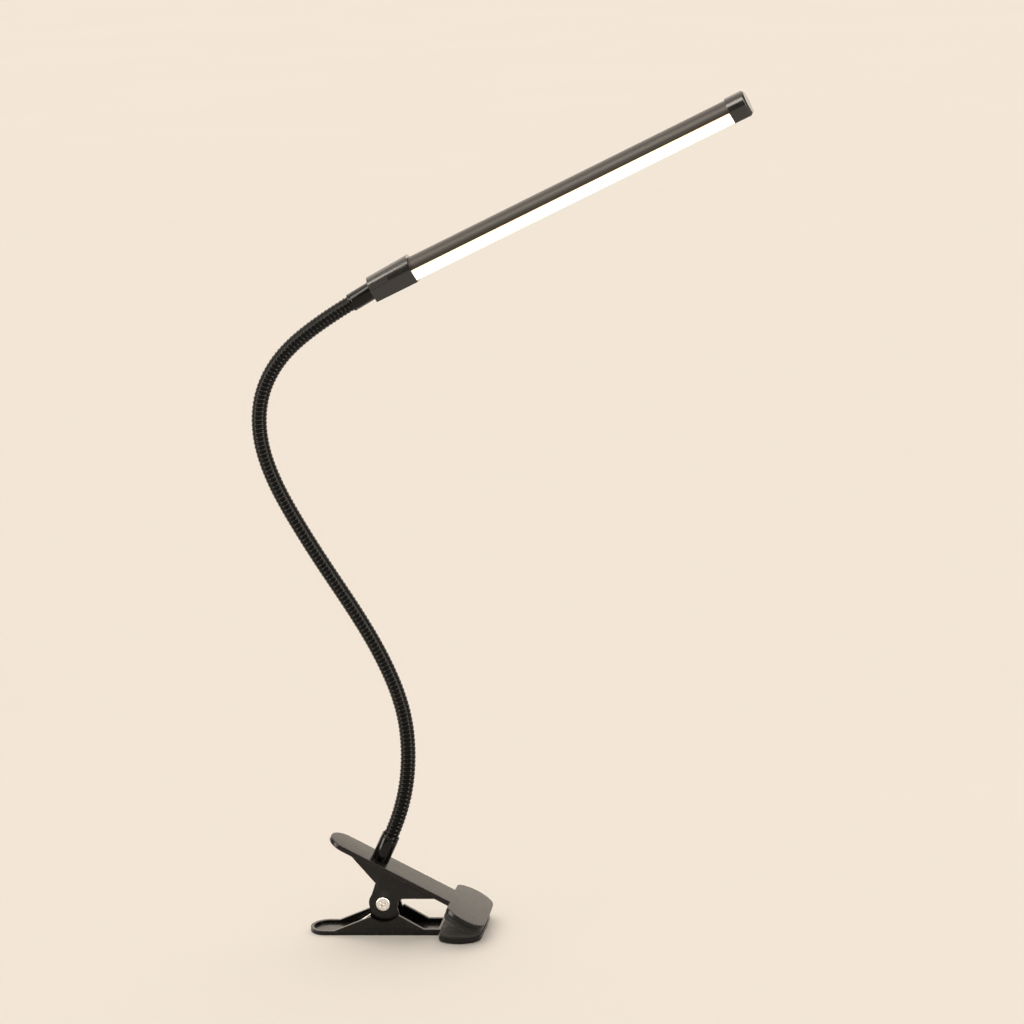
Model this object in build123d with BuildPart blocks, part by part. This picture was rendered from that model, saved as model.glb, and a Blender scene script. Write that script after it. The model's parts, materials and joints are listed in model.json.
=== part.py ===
from build123d import *

import os
from math import acos, atan2, cos, degrees, hypot, radians, sin

# Clip-on reading lamp: a sprung clip, a flexible gooseneck and a slim LED bar.
# Millimetres, +Z up, +X towards the jaws' mouth and the lit bar, symmetric about Y = 0.
# The origin is on the lower jaw's flat underside, straight below the jaw pivot.

os.makedirs("parts", exist_ok=True)

# ---------------------------------------------------------------- driving dimensions

# clip, common to both jaws
BODY_WIDTH = 20.4
PADDLE_WIDTH = 50.0
PADDLE_SHOULDER_WIDTH = 39.4
PADDLE_FRONT_BULGE = 0.5
PADDLE_REAR_RADIUS = 5.0
PADDLE_FRONT_RADIUS = 8.0
PIVOT_HEIGHT = 19.5
PAD_THICKNESS = 1.6
PAD_INSET = 0.5
ROOT_OVERLAP = 1.0

# lower jaw
FLOOR_THICKNESS = 3.7
LOWER_HANDLE_END = -46.3
LOWER_PADDLE_REAR = 33.3
LOWER_PADDLE_FRONT = 58.5
LOWER_PADDLE_THICKNESS = 3.2
LOWER_EDGE_RADIUS = 1.2
HANDLE_RIM_HEIGHT = 2.6
TRAY_FLOOR = 1.0
TRAY_FRONT = -12.8
CHANNEL_REAR = 13.0
CHANNEL_FRONT = 32.0
CHEEK_THICKNESS = 2.0
LOWER_CHEEK_REAR = -30.4
LOWER_CHEEK_FRONT = 23.3
LOWER_CHEEK_TOP_REAR = (-8.0, 11.6)
LOWER_CHEEK_TOP_FRONT = (8.0, 12.8)
RELIEF_RADIUS = 11.3
INNER_EAR_OUTER_Y = 6.9
INNER_EAR_THICKNESS = 1.9
INNER_EAR_RADIUS = 6.6
INNER_EAR_FOOT = 11.0

# upper jaw
CLAMP_PITCH = 28.9
PIVOT_TO_TOP_FACE = 20.6
PLATE_THICKNESS = 3.2
UPPER_HANDLE_END = -45.6
UPPER_PADDLE_REAR = 34.2
UPPER_PADDLE_FRONT = 58.3
UPPER_CHEEK_OUTER_Y = 9.0
UPPER_CHEEK_THICKNESS = 1.8
UPPER_EAR_RADIUS = 8.6
UPPER_CHEEK_REAR = -20.2
UPPER_CHEEK_WAIST = (-4.0, 32.1)
UPPER_CHEEK_FLANK = (-7.4, 22.9)
WINDOW_TOP = 22.3
WINDOW_REAR = 9.8
WINDOW_FRONT = 30.5
WINDOW_CORNER_RADIUS = 1.5
PLATE_EDGE_RADIUS = 0.5
PLATE_UNDER_RADIUS = 0.8
UPPER_PAD_REAR_THICKNESS = 3.6

# pivot hardware
SCREW_RADIUS = 2.0
SCREW_HEAD_RADIUS = 4.2
SCREW_HEAD_HEIGHT = 1.9
SCREW_HEAD_CROWN = 0.7
RECESS_LENGTH = 4.4
RECESS_WIDTH = 0.9
RECESS_DEPTH = 1.1
EAR_HOLE_RADIUS = 2.05
NUT_ACROSS_FLATS = 7.0
NUT_THICKNESS = 3.2
SLEEVE_RADIUS = 2.9
SLEEVE_BORE_RADIUS = 2.15

# torsion spring
SPRING_WIRE_RADIUS = 0.65
SPRING_COIL_RADIUS = 4.2
SPRING_PITCH = 1.4
SPRING_LEG_STEP = 1.5
SPRING_FULL_TURNS = 4
SPRING_START_Y = 4.0
LOWER_LEG_END = (-20.0, 1.75)
UPPER_LEG_REACH = -30.0
JAW_OPENING = 50.0

# ferrules and the stud under the lower one
FERRULE_RADIUS = 5.3
FERRULE_STATION = -14.2
LOWER_FERRULE_LENGTH = 16.3
FERRULE_EDGE = 0.5
STUD_RADIUS = 3.0
STUD_HOLE_RADIUS = 3.1
STUD_BORE_RADIUS = 1.9
STUD_LENGTH = 9.6
HOSE_SOCKET_DEPTH = 8.0
WASHER_RADIUS = 6.0
WASHER_THICKNESS = 1.0
STUD_NUT_ACROSS_FLATS = 9.5
STUD_NUT_THICKNESS = 4.0
GROMMET_RADIUS = 2.5
GROMMET_BORE_RADIUS = 1.45
GROMMET_FLANGE = 1.2
GROMMET_PLUG = 3.0

# gooseneck: hose lengths that follow one another, each an arc that turns by so many degrees
HOSE_RADIUS = 4.5
HOSE_BORE_RADIUS = 2.4
HOSE_LENGTH = 361.2
HOSE_GAP = 1.3
HOSE_TURNS = [16.5, 7.5, 16, 10, 6.5, 3, -0.5, -3, -4.5, -17, -22.5, -27, -12.5, -4.5]
LEAD_RADIUS = 0.75
LEAD_OFFSET = 0.95
LEAD_INSET = 0.4

# lamp head: s runs along the bar from the rear cap's front face, t runs up across the bar
HEAD_PITCH = 24.3
UPPER_FERRULE_LENGTH = 14.8
UPPER_FERRULE_ENGAGED = 11.0
FERRULE_ENTRY_T = -0.8
CAP_REAR = -27.1
CAP_FRONT = -0.7
BAR_REAR = -7.0
BAR_FRONT = 205.0
END_CAP_REAR = 198.4
END_CAP_FRONT = 209.6
BAR_HALF_WIDTH = 7.0
BAR_TOP = 6.65
BAR_BOTTOM = -6.6
BAR_SPLIT = -0.3
BAR_FOOT_HALF_WIDTH = 4.4
CAP_HALF_WIDTH = 8.4
CAP_REAR_HALF_WIDTH = 7.8
CAP_REAR_TOP = 7.1
CAP_FRONT_TOP = 8.6
CAP_BOTTOM = -7.8
CAP_FOOT_HALF_WIDTH = 5.2
CAP_FLAT_Y = 7.1
CAP_FLAT_LENGTH = 12.4
CAP_FLAT_HEIGHT = 6.0
CAP_FLAT_CORNER = 2.4
CAP_FLAT_T = 2.6
END_CAP_HALF_WIDTH = 8.0
END_CAP_TOP = 7.7
END_CAP_BOTTOM = -7.0
END_CAP_FOOT_HALF_WIDTH = 4.8
END_CAP_BEVEL = 1.1
SOCKET_CLEARANCE = 0.05
CAP_LEAD_BORE_RADIUS = 2.6
CAP_LEAD_BORE_T = 0.3
CAP_LEAD_BORE_LENGTH = 13.5
WALL = 1.1
SHELF_BOTTOM = 1.3
SHELF_THICKNESS = 1.0
SHELF_HALF_WIDTH = 6.1
TONGUE_INNER_Y = 4.9
TONGUE_THICKNESS = 0.8
TONGUE_HEIGHT = 1.2
BOARD_HALF_WIDTH = 4.7
BOARD_THICKNESS = 1.0
BOARD_REAR = 2.0
BOARD_FRONT = 200.0
CHIP_COUNT = 28
CHIP_LENGTH = 3.5
CHIP_WIDTH = 2.8
CHIP_HEIGHT = 0.7
GRUB_RADIUS = 1.5
GRUB_STATION = -21.0
GRUB_LENGTH = 1.8
GRUB_RECESS = 0.3
GRUB_HEX = 1.3
DIFFUSER_EDGE_RADIUS = 1.5
DIFFUSER_INNER_FOOT = 3.85
BOARD_LEAD_T = -0.4
BOARD_LEAD_BEND = 20.0

# ---------------------------------------------------------------- derived places

HALF_BODY = BODY_WIDTH / 2
PIVOT = (0.0, PIVOT_HEIGHT)
PITCH = radians(CLAMP_PITCH)
ALONG_CLAMP = (cos(PITCH), -sin(PITCH))
CLAMP_NORMAL = (sin(PITCH), cos(PITCH))


def clamp_point(u, n):
    """X and Z of the point u along the upper jaw's top face and n above it."""
    x = u * ALONG_CLAMP[0] + (PIVOT_TO_TOP_FACE + n) * CLAMP_NORMAL[0]
    z = PIVOT_HEIGHT + u * ALONG_CLAMP[1] + (PIVOT_TO_TOP_FACE + n) * CLAMP_NORMAL[1]
    return x, z


def clamp_plane(u, n):
    """Plane parallel to the upper jaw's top face, its x axis towards the mouth."""
    x, z = clamp_point(u, n)
    return Plane(
        origin=(x, 0, z),
        x_dir=(ALONG_CLAMP[0], 0, ALONG_CLAMP[1]),
        z_dir=(CLAMP_NORMAL[0], 0, CLAMP_NORMAL[1]),
    )


def step_along(start, angle, distance):
    """The point reached from start in the XZ plane at an angle above +X, in degrees."""
    return (
        start[0] + distance * cos(radians(angle)),
        start[1] + distance * sin(radians(angle)),
    )


def arc_step(start, angle, length, turn):
    """End point of an arc of this length that leaves start at angle and turns by turn."""
    half = radians(turn) / 2
    chord = length * sin(half) / half
    return step_along(start, angle + turn / 2, chord)


def plane_facing(point, angle):
    """Plane across the XZ direction at this angle: x is +Y, y is the upward side."""
    return Plane(
        origin=(point[0], 0, point[1]),
        x_dir=(0, 1, 0),
        z_dir=(cos(radians(angle)), 0, sin(radians(angle))),
    )


def side_plane(y):
    """Plane of constant Y, drawn in X and Z, its normal towards -Y."""
    return Plane(origin=(0, y, 0), x_dir=(1, 0, 0), z_dir=(0, -1, 0))


# the hose lengths in order: start point, start angle, length and turn
FERRULE_FOOT = clamp_point(FERRULE_STATION, 0)
NECK_START_ANGLE = 90 - CLAMP_PITCH
NECK_START = step_along(FERRULE_FOOT, NECK_START_ANGLE, LOWER_FERRULE_LENGTH + HOSE_GAP / 2)
HOSE_PITCH = HOSE_LENGTH / len(HOSE_TURNS)


def hose_lengths():
    """Start, angle, length and turn of each hose length, then the end point and its angle."""
    point, angle = NECK_START, NECK_START_ANGLE
    lengths = []
    for turn in HOSE_TURNS:
        trim = HOSE_GAP / 2
        share = turn * trim / HOSE_PITCH
        start = arc_step(point, angle, trim, share)
        lengths.append((start, angle + share, HOSE_PITCH - HOSE_GAP, turn - 2 * share))
        point = arc_step(point, angle, HOSE_PITCH, turn)
        angle += turn
    return lengths, point, angle


LENGTHS, NECK_END, NECK_END_ANGLE = hose_lengths()
UPPER_FERRULE_START = step_along(NECK_END, NECK_END_ANGLE, HOSE_GAP / 2)
CAP_ENTRY = step_along(UPPER_FERRULE_START, NECK_END_ANGLE, UPPER_FERRULE_LENGTH)
HEAD_ORIGIN = step_along(
    step_along(CAP_ENTRY, HEAD_PITCH, -CAP_REAR), HEAD_PITCH + 90, -FERRULE_ENTRY_T
)


def head_section(s):
    """Plane across the bar at s: x is +Y and y is t."""
    return plane_facing(step_along(HEAD_ORIGIN, HEAD_PITCH, s), HEAD_PITCH)


def head_side(y):
    """Plane along the bar at this Y: x is s, y is t, and its normal is -Y."""
    return Plane(
        origin=(HEAD_ORIGIN[0], y, HEAD_ORIGIN[1]),
        x_dir=(cos(radians(HEAD_PITCH)), 0, sin(radians(HEAD_PITCH))),
        z_dir=(0, -1, 0),
    )


def head_point(s, t):
    """X and Z of the point at s along the bar and t across it."""
    return step_along(step_along(HEAD_ORIGIN, HEAD_PITCH, s), HEAD_PITCH + 90, t)


def head_foot(s, t):
    """Plane at s and t under the head, its normal up across the bar."""
    return plane_facing(head_point(s, t), HEAD_PITCH + 90)


def run_angle(start, end):
    """Angle above +X of the straight run from start to end, in degrees."""
    return degrees(atan2(end[1] - start[1], end[0] - start[0]))


def finish(builder, name):
    """Label the piece and write it as one STEP file."""
    builder.part.label = name
    export_step(builder.part, f"parts/{name}.step")


# ---------------------------------------------------------------- shared profiles


def jaw_plan(handle_end, paddle_rear, paddle_front):
    """Plan of a jaw: rounded handle, straight body and a wide paddle with bowed sides."""
    middle = (paddle_rear + paddle_front) / 2
    shoulder = PADDLE_SHOULDER_WIDTH / 2
    with Locations((handle_end + HALF_BODY, 0)):
        Circle(HALF_BODY)
    with Locations((handle_end + HALF_BODY, 0)):
        Rectangle(paddle_rear - handle_end, BODY_WIDTH, align=(Align.MIN, Align.CENTER))
    paddle_plan(paddle_rear, middle, paddle_front, shoulder, PADDLE_WIDTH / 2)


def paddle_plan(rear, middle, front, shoulder, half_width):
    """Plan of a paddle, with small rear corners and larger front ones."""
    with BuildSketch(mode=Mode.PRIVATE) as paddle:
        with BuildLine():
            Line((rear, shoulder), (rear, -shoulder))
            ThreePointArc((rear, -shoulder), (middle, -half_width), (front, -shoulder))
            bow = front + PADDLE_FRONT_BULGE
            ThreePointArc((front, -shoulder), (bow, 0), (front, shoulder))
            ThreePointArc((front, shoulder), (middle, half_width), (rear, shoulder))
        make_face()
        fillet(paddle.vertices().group_by(Axis.X)[0], PADDLE_REAR_RADIUS)
        fillet(paddle.vertices().group_by(Axis.X)[-1], PADDLE_FRONT_RADIUS)
    add(paddle.sketch)


def pad_plan(rear, front):
    """Plan of a grip pad, a little inside the paddle's outline."""
    middle = (rear + front) / 2
    shoulder = PADDLE_SHOULDER_WIDTH / 2 - PAD_INSET
    half_width = PADDLE_WIDTH / 2 - PAD_INSET
    paddle_plan(rear + PAD_INSET, middle, front - PAD_INSET, shoulder, half_width)


def bar_profile(half_width, top, bottom, foot):
    """Cross-section of the head: an arch above the split and a tapered foot below it."""
    with BuildLine() as outline:
        EllipticalCenterArc((0, BAR_SPLIT), half_width, top - BAR_SPLIT, 0, arc_size=180)
        Polyline((-half_width, BAR_SPLIT), (-foot, bottom), (foot, bottom), (half_width, BAR_SPLIT))
    make_face(outline.edges())


# ---------------------------------------------------------------- clip


def make_lower_jaw():
    """Trays before and behind the pivot, two outer cheeks, two inner ears and the lower paddle."""
    with BuildPart() as lower_jaw:
        with BuildSketch(Plane.XY):
            jaw_plan(LOWER_HANDLE_END, LOWER_PADDLE_REAR, LOWER_PADDLE_FRONT)
        extrude(amount=LOWER_PADDLE_THICKNESS)
        rim = lower_jaw.faces().sort_by(Axis.Z)[0].outer_wire().edges()
        paddle_reach = (LOWER_PADDLE_REAR - ROOT_OVERLAP, LOWER_PADDLE_FRONT + ROOT_OVERLAP)
        fillet(rim.filter_by_position(Axis.X, *paddle_reach), LOWER_EDGE_RADIUS)
        with BuildSketch(Plane.XY.offset(LOWER_PADDLE_THICKNESS)):
            with Locations((LOWER_HANDLE_END + HALF_BODY, 0)):
                Circle(HALF_BODY)
                Rectangle(
                    LOWER_PADDLE_REAR - LOWER_HANDLE_END - HALF_BODY,
                    BODY_WIDTH,
                    align=(Align.MIN, Align.CENTER),
                )
        extrude(amount=FLOOR_THICKNESS - LOWER_PADDLE_THICKNESS)
        # lower rim round the handle, up to where the cheeks rise
        with BuildSketch(side_plane(0)):
            with BuildLine():
                Polyline(
                    (LOWER_HANDLE_END - ROOT_OVERLAP, HANDLE_RIM_HEIGHT),
                    (LOWER_CHEEK_REAR, HANDLE_RIM_HEIGHT),
                    LOWER_CHEEK_TOP_REAR,
                    (LOWER_HANDLE_END - ROOT_OVERLAP, LOWER_CHEEK_TOP_REAR[1]),
                    close=True,
                )
            make_face()
        extrude(amount=HALF_BODY, both=True, mode=Mode.SUBTRACT)
        # outer cheeks, hollowed round the pivot so that the upper ears can turn inside
        for side in (1, -1):
            with BuildSketch(side_plane(side * HALF_BODY)):
                with BuildLine():
                    Polyline(
                        (LOWER_CHEEK_REAR, HANDLE_RIM_HEIGHT - ROOT_OVERLAP),
                        (LOWER_CHEEK_REAR, HANDLE_RIM_HEIGHT),
                        LOWER_CHEEK_TOP_REAR,
                        LOWER_CHEEK_TOP_FRONT,
                        (LOWER_CHEEK_FRONT, FLOOR_THICKNESS),
                        (LOWER_CHEEK_FRONT, FLOOR_THICKNESS - ROOT_OVERLAP),
                        close=True,
                    )
                make_face()
                with Locations(PIVOT):
                    Circle(RELIEF_RADIUS, mode=Mode.SUBTRACT)
            extrude(amount=side * CHEEK_THICKNESS)
            # inner ear on this side, with the pivot hole
            with BuildSketch(side_plane(side * INNER_EAR_OUTER_Y)):
                with Locations(PIVOT):
                    Circle(INNER_EAR_RADIUS)
                with BuildLine():
                    Polyline(
                        (-INNER_EAR_RADIUS, PIVOT_HEIGHT),
                        (-INNER_EAR_FOOT, FLOOR_THICKNESS - ROOT_OVERLAP),
                        (INNER_EAR_FOOT, FLOOR_THICKNESS - ROOT_OVERLAP),
                        (INNER_EAR_RADIUS, PIVOT_HEIGHT),
                        close=True,
                    )
                make_face()
                with Locations(PIVOT):
                    Circle(EAR_HOLE_RADIUS, mode=Mode.SUBTRACT)
            extrude(amount=side * INNER_EAR_THICKNESS)
        # finger tray in the handle, and a channel from the pivot to the paddle
        tray_width = BODY_WIDTH - 2 * CHEEK_THICKNESS
        with BuildSketch(Plane.XY.offset(TRAY_FLOOR)):
            with Locations((LOWER_HANDLE_END + HALF_BODY, 0)):
                Circle(tray_width / 2)
                Rectangle(
                    TRAY_FRONT - LOWER_HANDLE_END - HALF_BODY,
                    tray_width,
                    align=(Align.MIN, Align.CENTER),
                )
            with Locations((CHANNEL_REAR, 0)):
                Rectangle(
                    CHANNEL_FRONT - CHANNEL_REAR, tray_width, align=(Align.MIN, Align.CENTER)
                )
        extrude(amount=FLOOR_THICKNESS, mode=Mode.SUBTRACT)
    finish(lower_jaw, "lower_jaw")


def make_upper_jaw():
    """Flat top plate with a rounded handle and a paddle, carried on two cheeks with ears."""
    with BuildPart() as upper_jaw:
        with BuildSketch(clamp_plane(0, -PLATE_THICKNESS)):
            jaw_plan(UPPER_HANDLE_END, UPPER_PADDLE_REAR, UPPER_PADDLE_FRONT)
        extrude(amount=PLATE_THICKNESS)
        upwards = Axis(clamp_plane(0, 0).origin, clamp_plane(0, 0).z_dir)
        top = upper_jaw.faces().sort_by(upwards)[-1]
        fillet(top.outer_wire().edges(), PLATE_EDGE_RADIUS)
        underside = upper_jaw.faces().sort_by(upwards)[0]
        fillet(underside.outer_wire().edges(), PLATE_UNDER_RADIUS)
        rear_top = clamp_point(0, -PLATE_THICKNESS / 2)
        slope = ALONG_CLAMP[1] / ALONG_CLAMP[0]

        def inside_plate(x):
            """Point at x in the middle of the plate's thickness."""
            return x, rear_top[1] + (x - rear_top[0]) * slope

        for side in (1, -1):
            with BuildSketch(side_plane(side * UPPER_CHEEK_OUTER_Y)) as cheek:
                with BuildLine():
                    Polyline(
                        inside_plate(UPPER_CHEEK_REAR),
                        UPPER_CHEEK_WAIST,
                        UPPER_CHEEK_FLANK,
                        (0, PIVOT_HEIGHT),
                        (UPPER_EAR_RADIUS, PIVOT_HEIGHT),
                        (WINDOW_REAR, WINDOW_TOP),
                        (WINDOW_FRONT, WINDOW_TOP),
                        inside_plate(WINDOW_FRONT),
                        close=True,
                    )
                make_face()
                corner = cheek.vertices().sort_by_distance((WINDOW_REAR, WINDOW_TOP))[0]
                fillet(corner, WINDOW_CORNER_RADIUS)
                with Locations(PIVOT):
                    Circle(UPPER_EAR_RADIUS)
                    Circle(EAR_HOLE_RADIUS, mode=Mode.SUBTRACT)
            extrude(amount=side * UPPER_CHEEK_THICKNESS)
        with BuildSketch(clamp_plane(FERRULE_STATION, 0)):
            Circle(STUD_HOLE_RADIUS)
        extrude(amount=-2 * PLATE_THICKNESS, mode=Mode.SUBTRACT)
    finish(upper_jaw, "upper_jaw")


def make_pads():
    """Soft grip pads, bonded to the paddles, the upper one thinner towards the mouth."""
    with BuildPart() as lower_pad:
        with BuildSketch(Plane.XY.offset(LOWER_PADDLE_THICKNESS)):
            pad_plan(LOWER_PADDLE_REAR, LOWER_PADDLE_FRONT)
        extrude(amount=PAD_THICKNESS)
        fillet(lower_pad.faces().sort_by(Axis.Z)[-1].outer_wire().edges(), PAD_INSET)
    finish(lower_pad, "lower_pad")

    thick_end = -PLATE_THICKNESS - UPPER_PAD_REAR_THICKNESS
    with BuildPart() as upper_pad:
        with BuildSketch(clamp_plane(0, thick_end)):
            pad_plan(UPPER_PADDLE_REAR, UPPER_PADDLE_FRONT)
        extrude(amount=UPPER_PAD_REAR_THICKNESS)
        with BuildSketch(side_plane(0)):
            with BuildLine():
                Polyline(
                    clamp_point(UPPER_PADDLE_REAR, thick_end),
                    clamp_point(UPPER_PADDLE_FRONT, -PLATE_THICKNESS - PAD_THICKNESS),
                    clamp_point(UPPER_PADDLE_FRONT, thick_end),
                    close=True,
                )
            make_face()
        extrude(amount=PADDLE_WIDTH / 2, both=True, mode=Mode.SUBTRACT)
    finish(upper_pad, "upper_pad")


# ---------------------------------------------------------------- pivot and spring


def make_pivot_screw():
    """Pan-head screw through both jaws, with a crossed recess."""
    with BuildPart() as pivot_screw:
        with BuildSketch(side_plane(-UPPER_CHEEK_OUTER_Y)):
            with Locations(PIVOT):
                Circle(SCREW_HEAD_RADIUS)
        extrude(amount=SCREW_HEAD_HEIGHT)
        crown = pivot_screw.faces().sort_by(Axis.Y)[0].outer_wire().edges()
        fillet(crown, SCREW_HEAD_CROWN)
        with BuildSketch(side_plane(-UPPER_CHEEK_OUTER_Y)):
            with Locations(PIVOT):
                Circle(SCREW_RADIUS)
        extrude(amount=-(2 * UPPER_CHEEK_OUTER_Y + NUT_THICKNESS))
        with BuildSketch(side_plane(-UPPER_CHEEK_OUTER_Y - SCREW_HEAD_HEIGHT)):
            with Locations(PIVOT):
                Rectangle(RECESS_LENGTH, RECESS_WIDTH, rotation=CLAMP_PITCH)
                Rectangle(RECESS_WIDTH, RECESS_LENGTH, rotation=CLAMP_PITCH)
        extrude(amount=-RECESS_DEPTH, mode=Mode.SUBTRACT)
    finish(pivot_screw, "pivot_screw")


def make_pivot_nut():
    """Hexagon nut against the far upper ear."""
    with BuildPart() as pivot_nut:
        with BuildSketch(side_plane(UPPER_CHEEK_OUTER_Y)):
            with Locations(PIVOT):
                RegularPolygon(NUT_ACROSS_FLATS / 2, 6, major_radius=False)
                Circle(SCREW_RADIUS, mode=Mode.SUBTRACT)
        extrude(amount=-NUT_THICKNESS)
    finish(pivot_nut, "pivot_nut")


def make_pivot_sleeve():
    """Spacer tube between the inner ears, inside the spring."""
    half = INNER_EAR_OUTER_Y - INNER_EAR_THICKNESS
    with BuildPart() as pivot_sleeve:
        with BuildSketch(side_plane(-half)):
            with Locations(PIVOT):
                Circle(SLEEVE_RADIUS)
                Circle(SLEEVE_BORE_RADIUS, mode=Mode.SUBTRACT)
        extrude(amount=-2 * half)
    finish(pivot_sleeve, "pivot_sleeve")


def tangent_angle(target, side):
    """Angle on the coil, in degrees above +X, from which a straight leg runs to the target."""
    dx, dz = target[0] - PIVOT[0], target[1] - PIVOT[1]
    return degrees(atan2(dz, dx)) + side * degrees(acos(SPRING_COIL_RADIUS / hypot(dx, dz)))


def coil_line(start_angle, turned):
    """Helix about the pivot that winds towards -Y, from this angle above +X, in degrees."""
    coil = Helix(
        pitch=SPRING_PITCH,
        height=SPRING_PITCH * turned / 360,
        radius=SPRING_COIL_RADIUS,
        center=(PIVOT[0], SPRING_START_Y, PIVOT[1]),
        direction=(0, -1, 0),
        mode=Mode.PRIVATE,
    )
    first = coil @ 0
    drawn_angle = run_angle(PIVOT, (first.X, first.Z))
    return coil.rotate(Axis((PIVOT[0], 0, PIVOT[1]), (0, -1, 0)), start_angle - drawn_angle)


def make_spring():
    """Torsion spring: coil with its lower leg, and the upper leg that turns with its jaw."""
    lower_angle = tangent_angle(LOWER_LEG_END, 1)
    upper_end = clamp_point(UPPER_LEG_REACH, -PLATE_THICKNESS - SPRING_WIRE_RADIUS)
    upper_angle = tangent_angle(upper_end, -1)
    wound = (upper_angle - lower_angle) % 360 + 360 * SPRING_FULL_TURNS
    lower_root = step_along(PIVOT, lower_angle, SPRING_COIL_RADIUS)
    with BuildPart() as torsion_spring:
        with BuildLine() as coil:
            add(coil_line(lower_angle, wound))
        with BuildSketch(Plane(coil.line @ 0, z_dir=coil.line % 0)):
            Circle(SPRING_WIRE_RADIUS)
        sweep(path=coil.line, is_frenet=True)
        with BuildLine() as lower_leg:
            Line(
                (lower_root[0], SPRING_START_Y, lower_root[1]),
                (LOWER_LEG_END[0], SPRING_START_Y, LOWER_LEG_END[1]),
            )
        with BuildSketch(Plane(lower_leg.line @ 0, z_dir=lower_leg.line % 0)):
            Circle(SPRING_WIRE_RADIUS)
        sweep(path=lower_leg.line)
        with Locations(lower_leg.line @ 0):
            Sphere(SPRING_WIRE_RADIUS)
    finish(torsion_spring, "torsion_spring")

    # the upper leg's own arc lies beside the last turn, and is long enough for the jaw's travel
    upper_y = SPRING_START_Y - SPRING_PITCH * wound / 360 - SPRING_LEG_STEP
    with BuildPart() as spring_upper_leg:
        with BuildLine(side_plane(upper_y)) as upper_leg:
            CenterArc(PIVOT, SPRING_COIL_RADIUS, upper_angle - JAW_OPENING, JAW_OPENING)
            Line(step_along(PIVOT, upper_angle, SPRING_COIL_RADIUS), upper_end)
        with BuildSketch(Plane(upper_leg.wire() @ 0, z_dir=upper_leg.wire() % 0)):
            Circle(SPRING_WIRE_RADIUS)
        sweep(path=upper_leg.wire())
    finish(spring_upper_leg, "spring_upper_leg")


# ---------------------------------------------------------------- foot of the gooseneck


def make_lower_ferrule():
    """Polished sleeve on the clip, with a hollow threaded stud below it."""
    with BuildPart() as lower_ferrule:
        with BuildSketch(clamp_plane(FERRULE_STATION, 0)):
            Circle(FERRULE_RADIUS)
        extrude(amount=LOWER_FERRULE_LENGTH)
        fillet(lower_ferrule.edges().filter_by(GeomType.CIRCLE), FERRULE_EDGE)
        with BuildSketch(clamp_plane(FERRULE_STATION, ROOT_OVERLAP)):
            Circle(STUD_RADIUS)
        extrude(amount=-STUD_LENGTH - ROOT_OVERLAP)
        with BuildSketch(clamp_plane(FERRULE_STATION, LOWER_FERRULE_LENGTH)):
            Circle(HOSE_BORE_RADIUS)
        extrude(amount=-HOSE_SOCKET_DEPTH, mode=Mode.SUBTRACT)
        with BuildSketch(clamp_plane(FERRULE_STATION, LOWER_FERRULE_LENGTH)):
            Circle(STUD_BORE_RADIUS)
        extrude(amount=-LOWER_FERRULE_LENGTH - STUD_LENGTH, mode=Mode.SUBTRACT)
    finish(lower_ferrule, "lower_ferrule")


def make_stud_fixings():
    """Washer, nut and lead grommet under the upper jaw's plate."""
    washer_top = -PLATE_THICKNESS
    nut_top = washer_top - WASHER_THICKNESS
    with BuildPart() as stud_washer:
        with BuildSketch(clamp_plane(FERRULE_STATION, washer_top)):
            Circle(WASHER_RADIUS)
            Circle(STUD_RADIUS, mode=Mode.SUBTRACT)
        extrude(amount=-WASHER_THICKNESS)
    finish(stud_washer, "stud_washer")

    with BuildPart() as stud_nut:
        with BuildSketch(clamp_plane(FERRULE_STATION, nut_top)):
            RegularPolygon(STUD_NUT_ACROSS_FLATS / 2, 6, major_radius=False)
            Circle(STUD_RADIUS, mode=Mode.SUBTRACT)
        extrude(amount=-STUD_NUT_THICKNESS)
    finish(stud_nut, "stud_nut")

    with BuildPart() as lead_grommet:
        with BuildSketch(clamp_plane(FERRULE_STATION, -STUD_LENGTH)):
            Circle(GROMMET_RADIUS)
        extrude(amount=-GROMMET_FLANGE)
        with BuildSketch(clamp_plane(FERRULE_STATION, -STUD_LENGTH)):
            Circle(STUD_BORE_RADIUS)
        extrude(amount=GROMMET_PLUG)
        with BuildSketch(clamp_plane(FERRULE_STATION, -STUD_LENGTH - GROMMET_FLANGE)):
            Circle(GROMMET_BORE_RADIUS)
        extrude(amount=GROMMET_FLANGE + GROMMET_PLUG, mode=Mode.SUBTRACT)
    finish(lead_grommet, "lead_grommet")


# ---------------------------------------------------------------- gooseneck


def neck_path(start, angle, length, turn):
    """Arc of the neck's centreline in the plane Y = 0."""
    radius = length / radians(abs(turn))
    with BuildLine(Plane.XZ) as path:
        JernArc(start, (cos(radians(angle)), sin(radians(angle))), radius, turn)
    return path.line


def make_hose_length(number, start, angle, length, turn):
    """One length of the wound hose, and the two leads inside it."""
    path = neck_path(start, angle, length, turn)
    with BuildPart() as hose:
        with BuildSketch(plane_facing(start, angle)):
            Circle(HOSE_RADIUS)
            Circle(HOSE_BORE_RADIUS, mode=Mode.SUBTRACT)
        sweep(path=path)
    finish(hose, f"hose_{number:02d}")

    share = turn * LEAD_INSET / length
    lead_start = arc_step(start, angle, LEAD_INSET, share)
    lead_path = neck_path(lead_start, angle + share, length - 2 * LEAD_INSET, turn - 2 * share)
    with BuildPart() as leads:
        with BuildSketch(plane_facing(lead_start, angle + share)):
            with Locations((LEAD_OFFSET, 0), (-LEAD_OFFSET, 0)):
                Circle(LEAD_RADIUS)
        sweep(path=lead_path)
    finish(leads, f"leads_{number:02d}")


# ---------------------------------------------------------------- lamp head


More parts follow.
